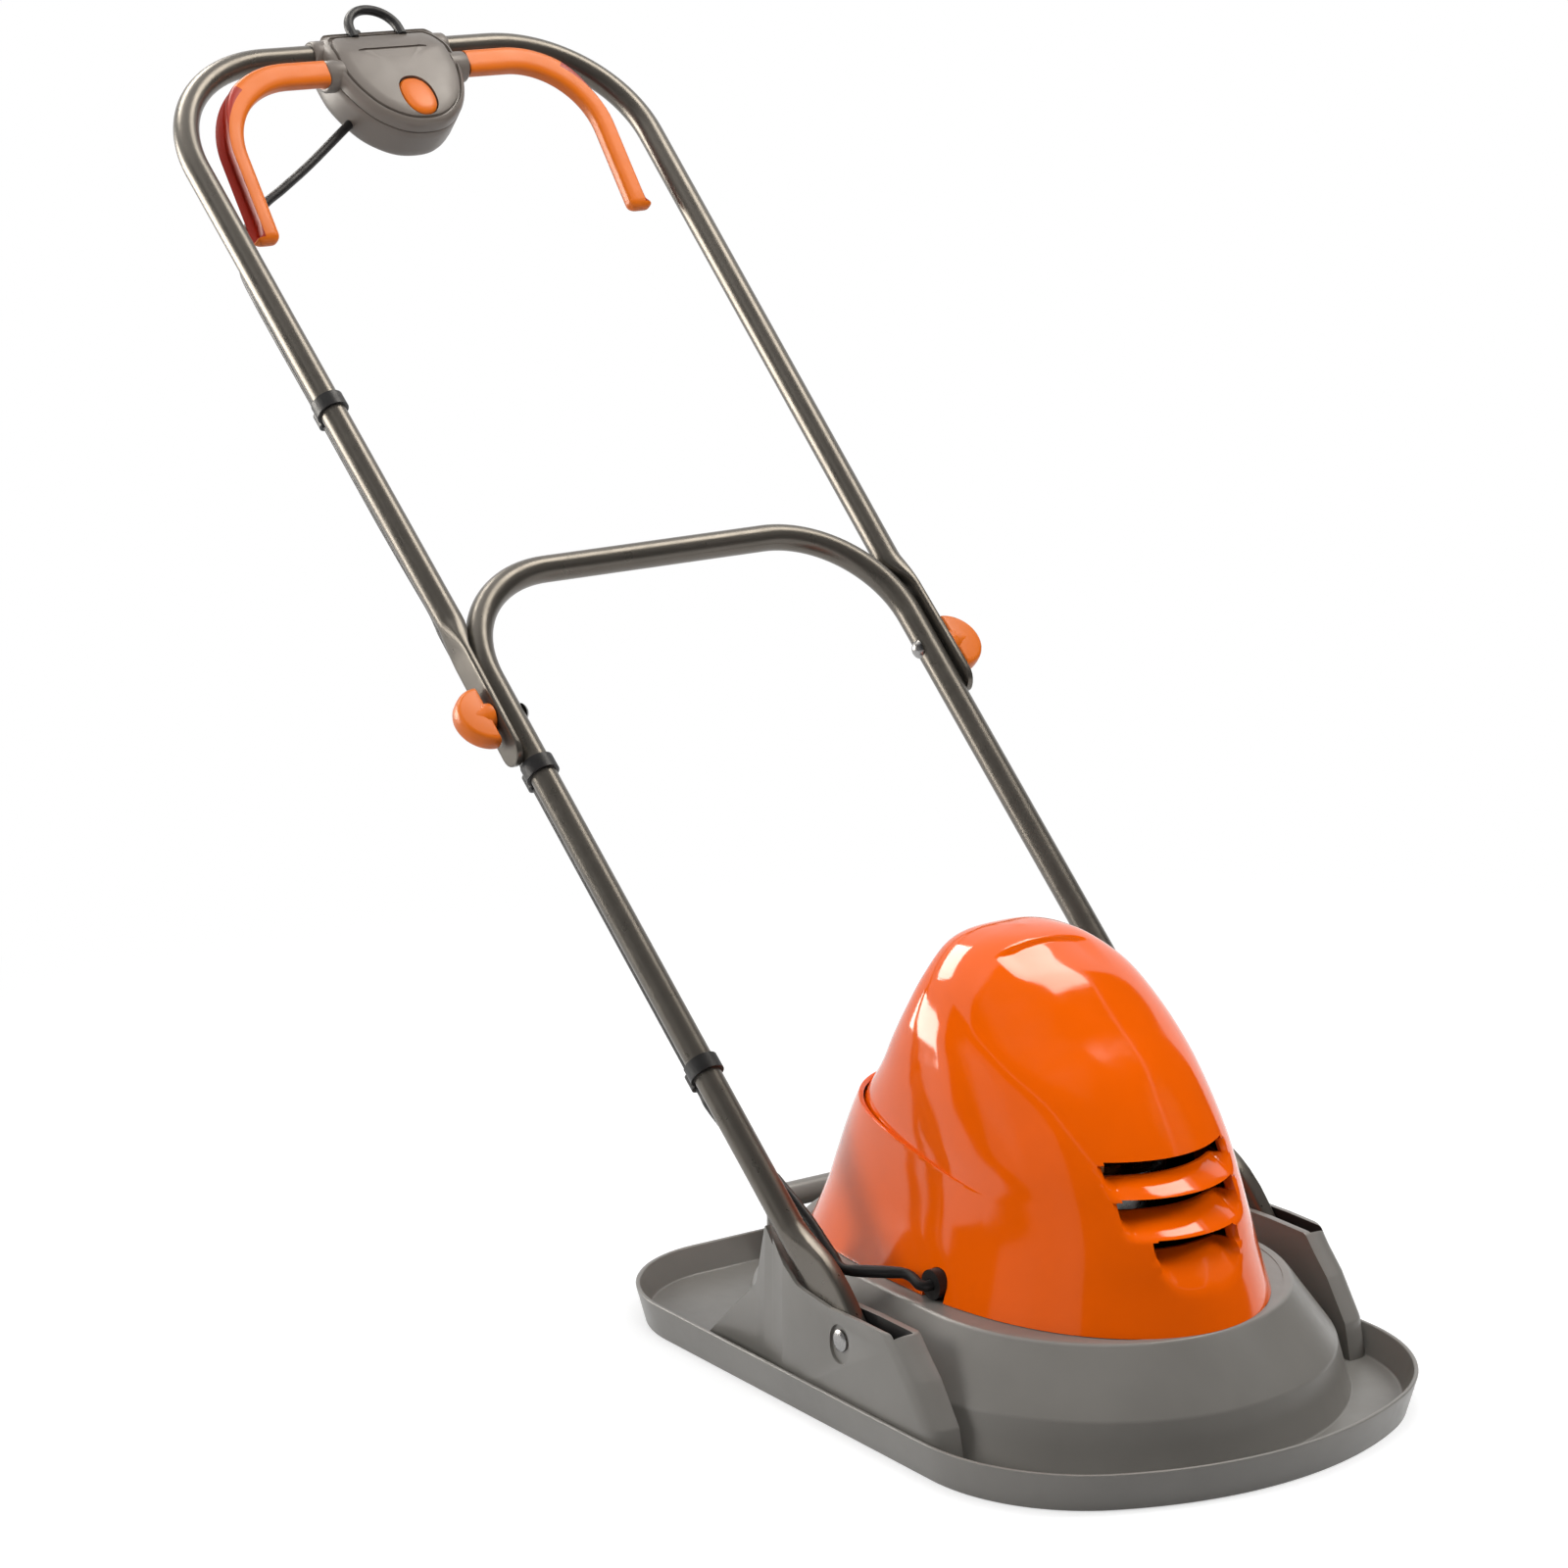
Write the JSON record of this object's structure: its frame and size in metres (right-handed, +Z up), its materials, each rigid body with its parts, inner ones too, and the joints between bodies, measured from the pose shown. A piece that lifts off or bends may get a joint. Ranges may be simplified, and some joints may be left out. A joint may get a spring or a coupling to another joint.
{
  "type": "hover mower",
  "caption": "Electric hover mower with a grey deck, a tall glossy orange motor cover and a folding tube handle with a bail lever.",
  "frame": {"origin": "on the ground under the blade axis", "axes": "+Z up along the blade axis, +Y toward the back where the handle rises, +X across the deck"},
  "size_m": [0.4346, 1.1149, 0.8161],
  "materials": {
    "deck_plastic": "moulded grey with a low sheen",
    "cover_plastic": "glossy orange",
    "handle_paint": "dark warm grey paint",
    "box_plastic": "fine-grained warm grey",
    "orange_plastic": "satin orange",
    "black_plastic": "black, low sheen",
    "lead_rubber": "black rubber",
    "steel": "bright zinc plate",
    "motor_alloy": "cast",
    "copper": "lacquered copper wire",
    "nut_brass": "plain"
  },
  "bodies": {
    "deck": {"deck_hood": "deck_plastic", "motor_cover": "cover_plastic", "cover_screws": "steel", "motor_bracket": "motor_alloy", "bracket_screws": "steel", "stator_core": "steel", "field_coils": "copper", "end_bracket": "motor_alloy", "end_bracket_screws": "steel", "upper_bearing": "steel", "lower_bearing": "steel", "brush_holders": "black_plastic", "carbon_brushes": "steel", "pivot_screws": "steel", "cable_grommet": "lead_rubber", "motor_lead_deck": "lead_rubber"},
    "rotor": {"motor_shaft": "steel", "armature_core": "steel", "armature_coils": "copper", "commutator": "copper", "cooling_fan": "black_plastic", "impeller": "black_plastic", "blade_spacers": "black_plastic", "blade": "steel", "blade_washer": "steel", "blade_bolt": "steel"},
    "handle_low": {"lower_handle": "handle_paint", "handle_bolts": "steel", "lower_cable_clips": "black_plastic", "motor_lead_lower": "lead_rubber"},
    "handle_top": {"upper_handle": "handle_paint", "switch_box_top": "box_plastic", "switch_box_base": "box_plastic", "box_screws": "steel", "switch_unit": "black_plastic", "lever_spring": "steel", "button_spring": "steel", "mains_inlet": "black_plastic", "cord_hook": "black_plastic", "upper_cable_clip": "black_plastic", "motor_lead_upper": "lead_rubber"},
    "lever": {"bail_lever": "orange_plastic"},
    "lock": {"lock_button": "orange_plastic"},
    "knob_left": {"left_knob": "orange_plastic", "left_knob_nut": "nut_brass"},
    "knob_right": {"right_knob": "orange_plastic", "right_knob_nut": "nut_brass"}
  },
  "joints": [
    {"name": "rotor_spin", "type": "hinge", "parent": "deck", "child": "rotor", "pos_m": [0, 0, 0.08], "axis": [0, 0, 1], "continuous": true},
    {"name": "handle_pivot", "type": "hinge", "parent": "deck", "child": "handle_low", "pos_m": [0, 0.033, 0.0622], "axis": [1, 0, 0], "range_deg": [0, 100]},
    {"name": "handle_fold", "type": "hinge", "parent": "handle_low", "child": "handle_top", "pos_m": [0, 0.41834, 0.39015], "axis": [-1, 0, 0], "range_deg": [-150, 0]},
    {"name": "knob_turn_left", "type": "hinge", "parent": "handle_low", "child": "knob_left", "pos_m": [-0.205, 0.41834, 0.39015], "axis": [-1, 0, 0], "continuous": true},
    {"name": "knob_turn_right", "type": "hinge", "parent": "handle_low", "child": "knob_right", "pos_m": [0.205, 0.41834, 0.39015], "axis": [1, 0, 0], "continuous": true},
    {"name": "lever_squeeze", "type": "hinge", "parent": "handle_top", "child": "lever", "pos_m": [0, 0.85397, 0.77009], "axis": [-1, 0, 0], "range_deg": [0, 12], "stiffness_Nm_per_rad": 0.8, "springref_deg": -17.19},
    {"name": "lock_press", "type": "slide", "parent": "handle_top", "child": "lock", "axis": [0, 0.6481, -0.7615], "range_m": [0, 0.004], "stiffness_N_per_m": 300, "springref_m": -0.003}
  ]
}
